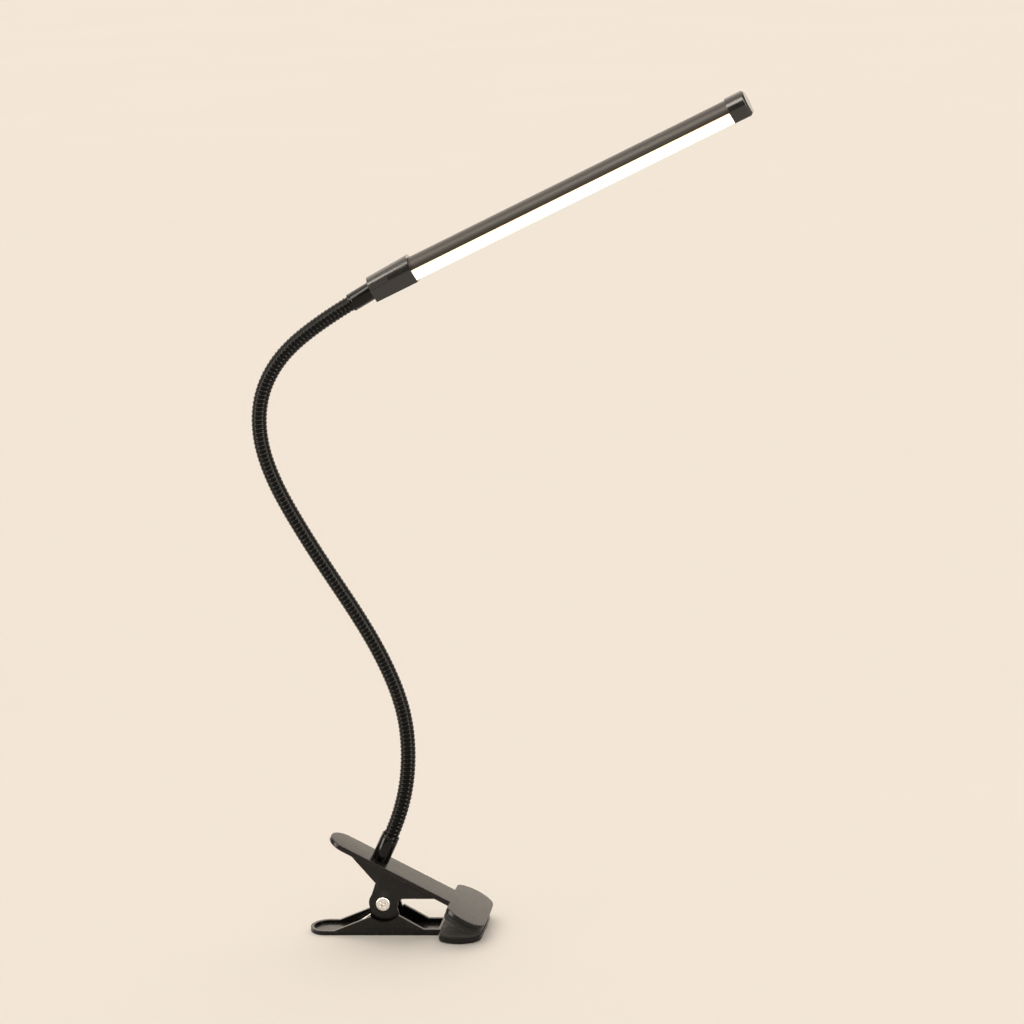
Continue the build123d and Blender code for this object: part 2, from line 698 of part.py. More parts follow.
def make_upper_ferrule():
    """Polished sleeve that joins the gooseneck to the rear cap."""
    length = UPPER_FERRULE_LENGTH + UPPER_FERRULE_ENGAGED
    with BuildPart() as upper_ferrule:
        with BuildSketch(plane_facing(UPPER_FERRULE_START, NECK_END_ANGLE)):
            Circle(FERRULE_RADIUS)
        extrude(amount=length)
        fillet(upper_ferrule.edges().filter_by(GeomType.CIRCLE), FERRULE_EDGE)
        with BuildSketch(plane_facing(UPPER_FERRULE_START, NECK_END_ANGLE)):
            Circle(HOSE_BORE_RADIUS)
        extrude(amount=length, mode=Mode.SUBTRACT)
    finish(upper_ferrule, "upper_ferrule")


def bar_socket(section, depth, clearance):
    """Cut a socket of the bar's outline into the part being built."""
    with BuildSketch(section, mode=Mode.PRIVATE) as socket:
        bar_profile(
            BAR_HALF_WIDTH + clearance,
            BAR_TOP + clearance,
            BAR_BOTTOM - clearance,
            BAR_FOOT_HALF_WIDTH + clearance,
        )
    extrude(socket.sketch, amount=depth, mode=Mode.SUBTRACT)


def make_rear_cap():
    """Moulded connector: tilted socket for the ferrule, a flat each side, a socket for the bar."""
    with BuildPart() as rear_cap:
        with BuildSketch(head_section(CAP_REAR)):
            bar_profile(CAP_REAR_HALF_WIDTH, CAP_REAR_TOP, CAP_BOTTOM, CAP_FOOT_HALF_WIDTH)
        with BuildSketch(head_section(CAP_FRONT)):
            bar_profile(CAP_HALF_WIDTH, CAP_FRONT_TOP, CAP_BOTTOM, CAP_FOOT_HALF_WIDTH)
        loft()
        bar_socket(head_section(CAP_FRONT), BAR_REAR - CAP_FRONT, SOCKET_CLEARANCE)
        # tilted socket for the ferrule, then the lead way between the two sockets
        with BuildSketch(plane_facing(CAP_ENTRY, NECK_END_ANGLE)):
            Circle(FERRULE_RADIUS)
        extrude(amount=UPPER_FERRULE_ENGAGED, both=True, mode=Mode.SUBTRACT)
        with BuildSketch(head_section(BAR_REAR)):
            with Locations((0, CAP_LEAD_BORE_T)):
                Circle(CAP_LEAD_BORE_RADIUS)
        extrude(amount=-CAP_LEAD_BORE_LENGTH, mode=Mode.SUBTRACT)
        # flats with a rounded front end, one on each side
        for side in (1, -1):
            with BuildSketch(head_side(side * CAP_FLAT_Y)) as flat:
                length = CAP_FLAT_LENGTH + ROOT_OVERLAP
                with Locations((CAP_REAR - ROOT_OVERLAP, CAP_FLAT_T)):
                    Rectangle(length, CAP_FLAT_HEIGHT, align=(Align.MIN, Align.CENTER))
                fillet(flat.vertices().group_by(Axis.X)[-1], CAP_FLAT_CORNER)
            extrude(amount=-side * CAP_FLAT_Y, mode=Mode.SUBTRACT)
        # hole for the grub screw, up through the foot
        with BuildSketch(head_foot(GRUB_STATION, CAP_BOTTOM)):
            Circle(GRUB_RADIUS)
        extrude(amount=-CAP_BOTTOM, mode=Mode.SUBTRACT)
    finish(rear_cap, "rear_cap")

    with BuildPart() as grub_screw:
        with BuildSketch(head_foot(GRUB_STATION, CAP_BOTTOM + GRUB_RECESS)):
            Circle(GRUB_RADIUS)
        extrude(amount=GRUB_LENGTH)
        with BuildSketch(head_foot(GRUB_STATION, CAP_BOTTOM + GRUB_RECESS)):
            RegularPolygon(GRUB_HEX / 2, 6, major_radius=False)
        extrude(amount=GRUB_HEX, mode=Mode.SUBTRACT)
    finish(grub_screw, "grub_screw")


def make_housing():
    """Extruded upper half of the bar: an arched shell with a shelf for the board."""
    arch_height = BAR_TOP - BAR_SPLIT
    inner = BAR_HALF_WIDTH - WALL
    with BuildPart() as housing:
        with BuildSketch(head_section(BAR_REAR)):
            with BuildLine():
                EllipticalCenterArc((0, BAR_SPLIT), BAR_HALF_WIDTH, arch_height, 0, arc_size=180)
                Line((-BAR_HALF_WIDTH, BAR_SPLIT), (BAR_HALF_WIDTH, BAR_SPLIT))
            make_face()
            with BuildLine():
                EllipticalCenterArc((0, BAR_SPLIT), inner, arch_height - WALL, 0, arc_size=180)
                Line((-inner, BAR_SPLIT), (inner, BAR_SPLIT))
            make_face(mode=Mode.SUBTRACT)
            with Locations((0, SHELF_BOTTOM + SHELF_THICKNESS / 2)):
                Rectangle(2 * SHELF_HALF_WIDTH, SHELF_THICKNESS)
        extrude(amount=BAR_FRONT - BAR_REAR)
    finish(housing, "housing")


def make_diffuser():
    """Opal lower half of the bar: a tapered trough with two tongues inside the housing."""
    with BuildPart() as diffuser:
        with BuildSketch(head_section(BAR_REAR)) as trough:
            with BuildLine():
                Polyline(
                    (-BAR_HALF_WIDTH, BAR_SPLIT),
                    (-BAR_FOOT_HALF_WIDTH, BAR_BOTTOM),
                    (BAR_FOOT_HALF_WIDTH, BAR_BOTTOM),
                    (BAR_HALF_WIDTH, BAR_SPLIT),
                    close=True,
                )
            make_face()
            fillet(trough.vertices().group_by(Axis.Y)[0], DIFFUSER_EDGE_RADIUS)
            with BuildLine():
                Polyline(
                    (-TONGUE_INNER_Y, BAR_SPLIT + WALL),
                    (-TONGUE_INNER_Y, BAR_SPLIT),
                    (-DIFFUSER_INNER_FOOT, BAR_BOTTOM + WALL),
                    (DIFFUSER_INNER_FOOT, BAR_BOTTOM + WALL),
                    (TONGUE_INNER_Y, BAR_SPLIT),
                    (TONGUE_INNER_Y, BAR_SPLIT + WALL),
                    close=True,
                )
            make_face(mode=Mode.SUBTRACT)
            tongue_y = TONGUE_INNER_Y + TONGUE_THICKNESS / 2
            with Locations((tongue_y, BAR_SPLIT), (-tongue_y, BAR_SPLIT)):
                Rectangle(TONGUE_THICKNESS, TONGUE_HEIGHT, align=(Align.CENTER, Align.MIN))
        extrude(amount=BAR_FRONT - BAR_REAR)
    finish(diffuser, "diffuser")


def make_light_source():
    """LED board under the shelf, its row of LEDs, and the two leads that feed it."""
    with BuildPart() as led_board:
        with BuildSketch(head_section(BOARD_REAR)):
            with Locations((0, SHELF_BOTTOM - BOARD_THICKNESS / 2)):
                Rectangle(2 * BOARD_HALF_WIDTH, BOARD_THICKNESS)
        extrude(amount=BOARD_FRONT - BOARD_REAR)
    finish(led_board, "led_board")

    spacing = (BOARD_FRONT - BOARD_REAR) / CHIP_COUNT
    with BuildPart() as led_chips:
        with BuildSketch(head_foot((BOARD_REAR + BOARD_FRONT) / 2, SHELF_BOTTOM - BOARD_THICKNESS)):
            with GridLocations(1, spacing, 1, CHIP_COUNT):
                Rectangle(CHIP_WIDTH, CHIP_LENGTH)
        extrude(amount=-CHIP_HEIGHT)
    finish(led_chips, "led_chips")

    # up through the ferrule and the cap, then onto the board's rear pads
    ferrule_end = step_along(UPPER_FERRULE_START, NECK_END_ANGLE, LEAD_INSET)
    cap_way = head_point(BAR_REAR, BOARD_LEAD_T)
    board_end = head_point(BOARD_REAR - LEAD_INSET, BOARD_LEAD_T)
    with BuildPart() as bar_leads:
        with BuildLine(Plane.XZ) as route:
            FilletPolyline(ferrule_end, cap_way, board_end, radius=BOARD_LEAD_BEND)
        with BuildSketch(plane_facing(ferrule_end, run_angle(ferrule_end, cap_way))):
            with Locations((LEAD_OFFSET, 0), (-LEAD_OFFSET, 0)):
                Circle(LEAD_RADIUS)
        sweep(path=route.wire())
    finish(bar_leads, "bar_leads")


def make_end_cap():
    """Moulded cap on the far end, bevelled round its front face."""
    with BuildPart() as end_cap:
        with BuildSketch(head_section(END_CAP_REAR)):
            bar_profile(END_CAP_HALF_WIDTH, END_CAP_TOP, END_CAP_BOTTOM, END_CAP_FOOT_HALF_WIDTH)
        extrude(amount=END_CAP_FRONT - END_CAP_REAR)
        axis = Axis((0, 0, 0), head_section(0).z_dir)
        chamfer(end_cap.faces().sort_by(axis)[-1].outer_wire().edges(), END_CAP_BEVEL)
        bar_socket(head_section(END_CAP_REAR), BAR_FRONT - END_CAP_REAR, SOCKET_CLEARANCE)
    finish(end_cap, "end_cap")


def make_ferrule_leads():
    """The two leads inside the lower ferrule and its stud, down to the grommet's mouth."""
    with BuildPart() as ferrule_leads:
        with BuildSketch(clamp_plane(FERRULE_STATION, -STUD_LENGTH + GROMMET_PLUG + LEAD_INSET)):
            with Locations((0, LEAD_OFFSET), (0, -LEAD_OFFSET)):
                Circle(LEAD_RADIUS)
        extrude(amount=LOWER_FERRULE_LENGTH + STUD_LENGTH - GROMMET_PLUG - 2 * LEAD_INSET)
    finish(ferrule_leads, "ferrule_leads")


make_lower_jaw()
make_upper_jaw()
make_pads()
make_pivot_screw()
make_pivot_nut()
make_pivot_sleeve()
make_spring()
make_lower_ferrule()
make_stud_fixings()
make_ferrule_leads()
for number, hose_length in enumerate(LENGTHS, start=1):
    make_hose_length(number, *hose_length)
make_upper_ferrule()
make_rear_cap()
make_housing()
make_diffuser()
make_light_source()
make_end_cap()
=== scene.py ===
import json
from math import atan2, cos, pi, radians, sin

import bmesh
import bpy
import numpy as np
from mathutils import Matrix, Vector


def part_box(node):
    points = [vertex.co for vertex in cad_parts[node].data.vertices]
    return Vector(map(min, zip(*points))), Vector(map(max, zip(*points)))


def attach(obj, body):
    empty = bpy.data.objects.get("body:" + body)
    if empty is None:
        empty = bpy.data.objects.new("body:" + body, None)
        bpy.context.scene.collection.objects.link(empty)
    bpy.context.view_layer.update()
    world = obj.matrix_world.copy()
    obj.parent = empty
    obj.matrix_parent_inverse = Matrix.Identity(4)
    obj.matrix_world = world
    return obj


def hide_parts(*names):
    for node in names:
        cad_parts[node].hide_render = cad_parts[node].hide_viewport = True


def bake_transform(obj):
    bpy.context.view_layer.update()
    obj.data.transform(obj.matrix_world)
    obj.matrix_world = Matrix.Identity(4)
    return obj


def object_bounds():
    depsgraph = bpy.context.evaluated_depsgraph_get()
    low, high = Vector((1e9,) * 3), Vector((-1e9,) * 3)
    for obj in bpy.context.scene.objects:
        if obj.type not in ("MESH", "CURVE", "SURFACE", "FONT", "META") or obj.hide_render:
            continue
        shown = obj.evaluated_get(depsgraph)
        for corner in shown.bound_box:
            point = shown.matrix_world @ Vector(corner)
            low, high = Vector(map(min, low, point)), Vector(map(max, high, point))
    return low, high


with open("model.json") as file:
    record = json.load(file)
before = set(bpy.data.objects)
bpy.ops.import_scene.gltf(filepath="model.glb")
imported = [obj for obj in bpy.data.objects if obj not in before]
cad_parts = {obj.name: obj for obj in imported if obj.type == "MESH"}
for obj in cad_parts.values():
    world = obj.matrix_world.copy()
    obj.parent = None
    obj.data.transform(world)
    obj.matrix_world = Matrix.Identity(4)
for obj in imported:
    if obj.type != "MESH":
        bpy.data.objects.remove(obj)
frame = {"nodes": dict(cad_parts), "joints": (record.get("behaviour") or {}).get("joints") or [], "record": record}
cad_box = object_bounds()
nodes = frame["nodes"]
scene = bpy.context.scene
MM = 0.001

# ---------------------------------------------------------------- places, all from the frame

node_body = {n: b for b, ns in frame["record"]["behaviour"]["bodies"].items() for n in ns}
neck_joints = [j for j in frame["joints"] if j["name"].startswith("neck_")]
hinge_points = [Vector(j["pos_m"]) for j in neck_joints]


def box_centre(node):
    low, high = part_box(node)
    return (low + high) / 2


def along(node, origin, direction):
    """Lowest and highest reach of a node's points along a direction from origin."""
    reach = [(v.co - origin).dot(direction) for v in nodes[node].data.vertices]
    return min(reach), max(reach)


ferrule_dir = (hinge_points[0] - box_centre("lower_ferrule")).normalized()
upper_ferrule_dir = (box_centre("upper_ferrule") - hinge_points[-1]).normalized()
FERRULE_FACE = hinge_points[0] + ferrule_dir * along("lower_ferrule", hinge_points[0], ferrule_dir)[1]
UPPER_FACE = (
    hinge_points[-1]
    + upper_ferrule_dir * along("upper_ferrule", hinge_points[-1], upper_ferrule_dir)[0]
)

bar_points = np.array([v.co for v in nodes["housing"].data.vertices])
bar_axis = np.linalg.svd(bar_points - bar_points.mean(0), full_matrices=False)[2][0]
bar_dir = Vector(bar_axis if bar_axis[0] > 0 else -bar_axis)
bar_dir.y = 0
bar_dir.normalize()
BAR_PITCH = atan2(bar_dir.z, bar_dir.x)
bar_up = Vector((-bar_dir.z, 0, bar_dir.x))
SPLIT_HEIGHT = min(v.co.dot(bar_up) for v in nodes["housing"].data.vertices)
plate_dir = Vector((ferrule_dir.z, 0, -ferrule_dir.x))
PLATE_PITCH = atan2(plate_dir.z, plate_dir.x)

# ---------------------------------------------------------------- materials

GLOW = 2.6
# share of the glow that is left where the diffuser meets the housing
GLOW_AT_SPLIT = 0.5
# how far below the housing the glow begins to fade, and where it is at its dimmest
FADE_START = 0.0016
FADE_END = 0.0001
LED_SPACING = 0.00707
# colour of scuffs and worn edges: this gain on the plastic's colour, and this lift
WORN_GAIN = 2.0
WORN_LIFT = 0.008
# shade of the flux haze against the board's colour
HAZE_SHADE = 0.75


class Shader:
    """A node material with the few calls that its textures are made from."""

    def __init__(self, name, rotate=0.0, **sockets):
        self.material = bpy.data.materials.new(name)
        self.material.use_nodes = True
        self.tree = self.material.node_tree
        self.bsdf = self.tree.nodes["Principled BSDF"]
        coords = self.tree.nodes.new("ShaderNodeTexCoord").outputs["Object"]
        turn = self.tree.nodes.new("ShaderNodeMapping")
        turn.inputs["Rotation"].default_value = (0, rotate, 0)
        self.tree.links.new(coords, turn.inputs["Vector"])
        self.coords = turn.outputs["Vector"]
        self.normal = None
        for key, value in sockets.items():
            self.bsdf.inputs[key.replace("_", " ")].default_value = value

    def link(self, output, socket):
        self.tree.links.new(output, socket)

    def stretched(self, stretch):
        mapping = self.tree.nodes.new("ShaderNodeMapping")
        mapping.inputs["Scale"].default_value = stretch
        self.link(self.coords, mapping.inputs["Vector"])
        return mapping.outputs["Vector"]

    def noise(self, scale, detail=2.0, stretch=(1, 1, 1)):
        node = self.tree.nodes.new("ShaderNodeTexNoise")
        node.inputs["Scale"].default_value = scale
        node.inputs["Detail"].default_value = detail
        self.link(self.stretched(stretch), node.inputs["Vector"])
        return node.outputs["Fac"]

    def cells(self, scale, stretch=(1, 1, 1)):
        node = self.tree.nodes.new("ShaderNodeTexVoronoi")
        node.inputs["Scale"].default_value = scale
        self.link(self.stretched(stretch), node.inputs["Vector"])
        return node.outputs["Distance"]

    def mapped(self, value, low, high, to_low, to_high):
        node = self.tree.nodes.new("ShaderNodeMapRange")
        for socket, number in zip(node.inputs[1:5], (low, high, to_low, to_high)):
            socket.default_value = number
        self.link(value, node.inputs["Value"])
        return node.outputs["Result"]

    def math(self, operation, first, second):
        node = self.tree.nodes.new("ShaderNodeMath")
        node.operation = operation
        for socket, value in zip(node.inputs, (first, second)):
            if isinstance(value, (int, float)):
                socket.default_value = value
            else:
                self.link(value, socket)
        return node.outputs["Value"]

    def blended(self, factor, first, second):
        node = self.tree.nodes.new("ShaderNodeMix")
        node.data_type = "RGBA"
        self.link(factor, node.inputs[0])
        for socket, value in zip([s for s in node.inputs if s.type == "RGBA"], (first, second)):
            if isinstance(value, tuple):
                socket.default_value = (*value, 1)
            else:
                self.link(value, socket)
        return [s for s in node.outputs if s.type == "RGBA"][0]

    def edges(self, low=0.53, high=0.62):
        """Mask of convex edges, for wear and, on the hose's crests, a painted highlight."""
        node = self.tree.nodes.new("ShaderNodeNewGeometry")
        return self.mapped(node.outputs["Pointiness"], low, high, 0, 1)

    def bump(self, height, distance, strength=1.0):
        node = self.tree.nodes.new("ShaderNodeBump")
        node.inputs["Distance"].default_value = distance
        node.inputs["Strength"].default_value = strength
        self.link(height, node.inputs["Height"])
        if self.normal is not None:
            self.link(self.normal, node.inputs["Normal"])
        self.normal = node.outputs["Normal"]
        self.link(self.normal, self.bsdf.inputs["Normal"])

    def set(self, socket, output):
        self.link(output, self.bsdf.inputs[socket])


def moulded_plastic(name, dark, light, rough, grain, grain_depth, rotate=0.0, **sockets):
    """Moulded plastic: faint mottling, a fine mould grain, small scuffs and polished edges."""
    m = Shader(name, rotate=rotate, **sockets)
    mottled = m.blended(m.mapped(m.noise(38, 4), 0.35, 0.65, 0, 1), dark, light)
    scuffs = m.mapped(m.noise(420, 6, (1, 1, 0.12)), 0.66, 0.76, 0, 0.35)
    worn = m.math("MULTIPLY", m.edges(), m.mapped(m.noise(160, 3), 0.42, 0.62, 0.1, 0.7))
    marks = m.math("MAXIMUM", scuffs, worn)
    lifted = tuple(WORN_GAIN * c + WORN_LIFT for c in light)
    m.set("Base Color", m.blended(marks, mottled, lifted))
    base_rough = m.mapped(m.noise(220, 3), 0.3, 0.7, rough - 0.05, rough + 0.06)
    m.set("Roughness", m.math("SUBTRACT", base_rough, m.math("MULTIPLY", worn, 0.09)))
    m.bump(m.noise(110, 2), 0.00001, 0.3)
    m.bump(m.cells(grain), grain_depth, 0.5)
    return m.material


def soft_rubber(name):
    """Matt grip rubber with a pitted surface and dusty patches."""
    m = Shader(name, Sheen_Weight=0.15, Sheen_Roughness=0.5, Specular_IOR_Level=0.3)
    dusty = m.mapped(m.noise(90, 5), 0.5, 0.7, 0, 0.6)
    m.set("Base Color", m.blended(dusty, (0.009, 0.0087, 0.008), (0.02, 0.019, 0.017)))
    m.set("Roughness", m.mapped(m.noise(300, 3), 0.3, 0.7, 0.62, 0.82))
    m.bump(m.cells(2600), 0.00005, 0.8)
    return m.material


def bright_metal(name, colour, rough, streak=(1, 1, 1), stain=(0.5, 0.47, 0.42)):
    """Plated steel: tool marks, faint stains in patches and small differences in polish."""
    m = Shader(name, Metallic=1.0)
    patches = m.mapped(m.noise(260, 5), 0.55, 0.75, 0, 0.55)
    m.set("Base Color", m.blended(patches, colour, stain))
    m.set("Roughness", m.mapped(m.noise(900, 4, streak), 0.3, 0.7, rough - 0.07, rough + 0.1))
    m.bump(m.noise(1400, 3, streak), 0.00002, 0.5)
    return m.material


def gloss_enamel(name):
    """Thick black enamel over steel, with orange peel and hairline scratches."""
    m = Shader(name, Specular_IOR_Level=0.24)
    clouds = m.mapped(m.noise(70, 3), 0.4, 0.6, 0, 1)
    m.set("Base Color", m.blended(clouds, (0.0022, 0.002, 0.0017), (0.004, 0.0037, 0.0033)))
    hair = m.mapped(m.noise(1500, 5, (1, 1, 0.05)), 0.68, 0.78, 0, 0.2)
    m.set("Roughness", m.math("ADD", m.mapped(m.noise(180, 3), 0.3, 0.7, 0.1, 0.17), hair))
    m.bump(m.noise(420, 2), 0.000008, 0.3)
    return m.material


def hose_enamel(name):
    """Satin black enamel on wound steel wire, its crests lightened in patches: partly worn enamel, partly a
    painted highlight.
    """
    m = Shader(name, Specular_IOR_Level=0.13)
    patches = m.mapped(m.noise(130, 4), 0.4, 0.65, 0, 1)
    base = m.blended(patches, (0.0025, 0.0023, 0.002), (0.0045, 0.0042, 0.0038))
    # crests lightened in patches: partly worn enamel, partly a painted highlight on the ribs
    crest_wear_and_highlight = m.math("MULTIPLY", m.edges(0.56, 0.7), m.mapped(m.noise(420, 4), 0.5, 0.7, 0, 0.4))
    m.set("Base Color", m.blended(crest_wear_and_highlight, base, (0.05, 0.048, 0.045)))
    m.set("Roughness", m.mapped(m.noise(900, 4), 0.3, 0.7, 0.14, 0.24))
    m.bump(m.noise(2500, 3), 0.00001, 0.4)
    return m.material


def anodised(name):
    """Black anodised extrusion: die lines along the bar and a faint bloom."""
    m = Shader(name, rotate=BAR_PITCH, Specular_IOR_Level=0.5)
    bloom = m.mapped(m.noise(26, 4, (0.5, 1, 1)), 0.4, 0.65, 0, 1)
    m.set("Base Color", m.blended(bloom, (0.026, 0.021, 0.0155), (0.037, 0.030, 0.022)))
    lines = m.noise(1800, 3, (0.004, 1, 1))
    m.set("Roughness", m.mapped(lines, 0.3, 0.7, 0.33, 0.5))
    m.bump(lines, 0.00002, 0.5)
    m.bump(m.noise(2600, 2), 0.00001, 0.4)
    return m.material


def opal(name):
    """Opal acrylic lit from inside: near-white, warmer and dimmer towards the housing."""
    m = Shader(name, rotate=BAR_PITCH, Roughness=0.32, Specular_IOR_Level=0.4)
    m.bsdf.inputs["Base Color"].default_value = (0.92, 0.9, 0.85, 1)
    parts = m.tree.nodes.new("ShaderNodeSeparateXYZ")
    m.link(m.coords, parts.inputs["Vector"])
    fade = (SPLIT_HEIGHT - FADE_START, SPLIT_HEIGHT - FADE_END)
    depth = m.mapped(parts.outputs["Z"], *fade, 0, 1)
    ripple = m.math("SINE", m.math("MULTIPLY", parts.outputs["X"], 2 * pi / LED_SPACING), 0)
    glow = m.mapped(ripple, -1, 1, 0.96, 1.04)
    m.set("Emission Color", m.blended(depth, (1.0, 0.93, 0.80), (1.0, 0.66, 0.30)))
    dim = m.mapped(depth, 0, 1, GLOW, GLOW * GLOW_AT_SPLIT)
    cloud = m.mapped(m.noise(120, 3), 0.3, 0.7, 0.98, 1.02)
    m.set("Emission Strength", m.math("MULTIPLY", m.math("MULTIPLY", dim, glow), cloud))
    m.bump(m.noise(900, 2), 0.00001, 0.3)
    return m.material


def lead_jacket(name):
    """Silicone lead jacket, slightly grubby."""
    m = Shader(name, Specular_IOR_Level=0.4)
    grime = m.mapped(m.noise(200, 4), 0.45, 0.7, 0, 0.7)
    m.set("Base Color", m.blended(grime, (0.60, 0.58, 0.53), (0.36, 0.34, 0.3)))
    m.set("Roughness", m.mapped(m.noise(500, 2), 0.3, 0.7, 0.45, 0.6))
    m.bump(m.noise(1500, 2), 0.00002, 0.5)
    return m.material


def board_coating(name, colour, rough):
    """Coated board or package: flat colour broken up by flux haze."""
    m = Shader(name)
    haze = m.mapped(m.noise(300, 4), 0.45, 0.7, 0, 0.5)
    m.set("Base Color", m.blended(haze, colour, tuple(HAZE_SHADE * c for c in colour)))
    m.set("Roughness", m.mapped(m.noise(800, 2), 0.3, 0.7, rough, rough + 0.15))
    m.bump(m.noise(2000, 2), 0.00001, 0.4)
    return m.material


looks = {
    "clip_plastic": moulded_plastic(
        "clip_plastic", (0.0075, 0.0071, 0.0064), (0.0115, 0.0108, 0.0096), 0.24, 3400, 0.000003,
        rotate=PLATE_PITCH, Specular_IOR_Level=0.28,
    ),
    "cap_plastic": moulded_plastic(
        "cap_plastic", (0.0085, 0.0081, 0.0074), (0.0125, 0.0119, 0.0108), 0.17, 4200, 0.000003,
        rotate=BAR_PITCH, Specular_IOR_Level=0.7,
    ),
    "grip_pad": soft_rubber("grip_pad"),
    "grommet_rubber": soft_rubber("grommet_rubber"),
    "bright_steel": bright_metal("bright_steel", (0.83, 0.82, 0.79), 0.24),
    "spring_steel": bright_metal("spring_steel", (0.42, 0.41, 0.39), 0.34, stain=(0.2, 0.17, 0.13)),
    "ferrule_enamel": gloss_enamel("ferrule_enamel"),
    "hose_enamel": hose_enamel("hose_enamel"),
    "bar_housing": anodised("bar_housing"),
    "opal_diffuser": opal("opal_diffuser"),
    "lead_jacket": lead_jacket("lead_jacket"),
    "board_white": board_coating("board_white", (0.86, 0.86, 0.83), 0.4),
    "led_package": board_coating("led_package", (0.93, 0.76, 0.28), 0.3),
}
slot_of = {s["node"]: s["material_slot"] for s in frame["record"]["subparts"]}

# ---------------------------------------------------------------- making pieces

# points closer than this, in metres, are one point
SAME_POINT = 2e-6
# faces that meet at less than this angle, in degrees, are one flat face
FLAT_ANGLE = 0.4
# edges sharper than this angle, in degrees, are rounded or, on a turned piece, shaded sharp
CREASE_ANGLE = 35
TURNED_CREASE_ANGLE = 38
TURNED_SIDES = 72


def add_piece(name, mesh, slot_name):
    """A new object with this mesh and its slot's material."""
    piece = bpy.data.objects.new(name, mesh)
    scene.collection.objects.link(piece)
    mesh.materials.clear()
    mesh.materials.append(looks[slot_name])
    return piece


def applied(piece):
    """The piece with its modifiers turned into mesh."""
    bpy.context.view_layer.update()
    shown = piece.evaluated_get(bpy.context.evaluated_depsgraph_get())
    mesh = bpy.data.meshes.new_from_object(shown)
    piece.modifiers.clear()
    piece.data = mesh
    return piece


def softened(node, width_mm, segments=2, angle=CREASE_ANGLE):
    """The node's own shape with its sharp edges rounded off, in place of the node."""
    mesh = nodes[node].data.copy()
    bm = bmesh.new()
    bm.from_mesh(mesh)
    bmesh.ops.remove_doubles(bm, verts=bm.verts, dist=SAME_POINT)
    bmesh.ops.dissolve_limit(
        bm, angle_limit=radians(FLAT_ANGLE), verts=bm.verts, edges=bm.edges,
        use_dissolve_boundaries=False,
    )
    for face in bm.faces:
        face.smooth = True
    bm.to_mesh(mesh)
    bm.free()
    if "custom_normal" in mesh.attributes:
        mesh.attributes.remove(mesh.attributes["custom_normal"])
    piece = add_piece(f"{node}_skin", mesh, slot_of[node])
    bevel = piece.modifiers.new("round", "BEVEL")
    bevel.width = width_mm * MM
    bevel.segments = segments
    bevel.limit_method = "ANGLE"
    bevel.angle_limit = radians(angle)
    bevel.harden_normals = True
    bevel.use_clamp_overlap = True
    applied(piece)
    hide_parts(node)
    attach(piece, node_body[node])
    return piece


def turned(name, node, profile, foot, direction, around=TURNED_SIDES):
    """A turned piece: profile is (height along the axis, radius) in mm, a closed loop."""
    side = Vector((0, 1, 0))
    other = direction.cross(side)
    count = len(profile)
    verts = []
    for step in range(around):
        turn = 2 * pi * step / around
        out = side * cos(turn) + other * sin(turn)
        for height, radius in profile:
            verts.append(foot + direction * height * MM + out * radius * MM)
    faces = []
    for step in range(around):
        here, there = step * count, (step + 1) % around * count
        for k in range(count):
            after = (k + 1) % count
            faces.append((here + k, here + after, there + after, there + k))
    mesh = bpy.data.meshes.new(name)
    mesh.from_pydata(verts, [], faces)
    bm = bmesh.new()
    bm.from_mesh(mesh)
    bmesh.ops.recalc_face_normals(bm, faces=bm.faces)
    bm.to_mesh(mesh)
    bm.free()
    mesh.shade_smooth()
    mesh.set_sharp_from_angle(angle=radians(TURNED_CREASE_ANGLE))
    piece = add_piece(name, mesh, slot_of[node])
    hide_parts(node)
    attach(piece, node_body[node])
    return piece


# ---------------------------------------------------------------- the hose

HOSE_RADIUS = 4.5 * MM
HOSE_BORE = 2.4 * MM
RIB_PITCH = 2.5 * MM
AROUND = 36
# how far the hose reaches into each ferrule
TUCK = 3.0 * MM
# turns of the grid beyond the hose's ends, so that its last turns have neighbours
SPARE_TURNS = 2
# turns at a piece's end left out of its bend span, which is worked out but not used
STIFF_TURNS = 1.2
# the hose's surface over one rib, in mm below its crest: round wire, then a low wedge wire
RIB_DEPTHS = [0.0, 0.07, 0.2, 0.46, 0.34, 0.3, 0.34, 0.46, 0.2, 0.07]
RIB_STEPS = len(RIB_DEPTHS)


def clamped_spline(points, first, last):
    """Cubic spline in X and Z with a knot at each point: a function of distance, and the knots."""
    xz = np.array([(p.x, p.z) for p in points])
    knots = np.concatenate([[0], np.cumsum(np.linalg.norm(np.diff(xz, axis=0), axis=1))])
    gaps = np.diff(knots)
    last_knot = len(points) - 1
    system = np.eye(len(points))
    known = np.zeros((len(points), 2))
    known[0], known[-1] = (first.x, first.z), (last.x, last.z)
    for i in range(1, last_knot):
        before, after = gaps[i - 1], gaps[i]
        system[i, i - 1 : i + 2] = after, 2 * (before + after), before
        back, ahead = xz[i] - xz[i - 1], xz[i + 1] - xz[i]
        known[i] = 3 * (after / before * back + before / after * ahead)
    slopes = np.linalg.solve(system, known)

    def at(distances):
        """Point and unit heading in X and Z at each distance along the spline."""
        i = np.clip(np.searchsorted(knots, distances, side="right") - 1, 0, last_knot - 1)
        gap = gaps[i][..., None]
        t = (distances[..., None] - knots[i][..., None]) / gap
        spot = (2 * t**3 - 3 * t**2 + 1) * xz[i] + (3 * t**2 - 2 * t**3) * xz[i + 1]
        spot += gap * ((t**3 - 2 * t**2 + t) * slopes[i] + (t**3 - t**2) * slopes[i + 1])
        heading = (6 * t**2 - 6 * t) / gap * (xz[i] - xz[i + 1])
        heading += (3 * t**2 - 4 * t + 1) * slopes[i] + (3 * t**2 - 2 * t) * slopes[i + 1]
        return spot, heading / np.linalg.norm(heading, axis=-1, keepdims=True)

    return at, knots


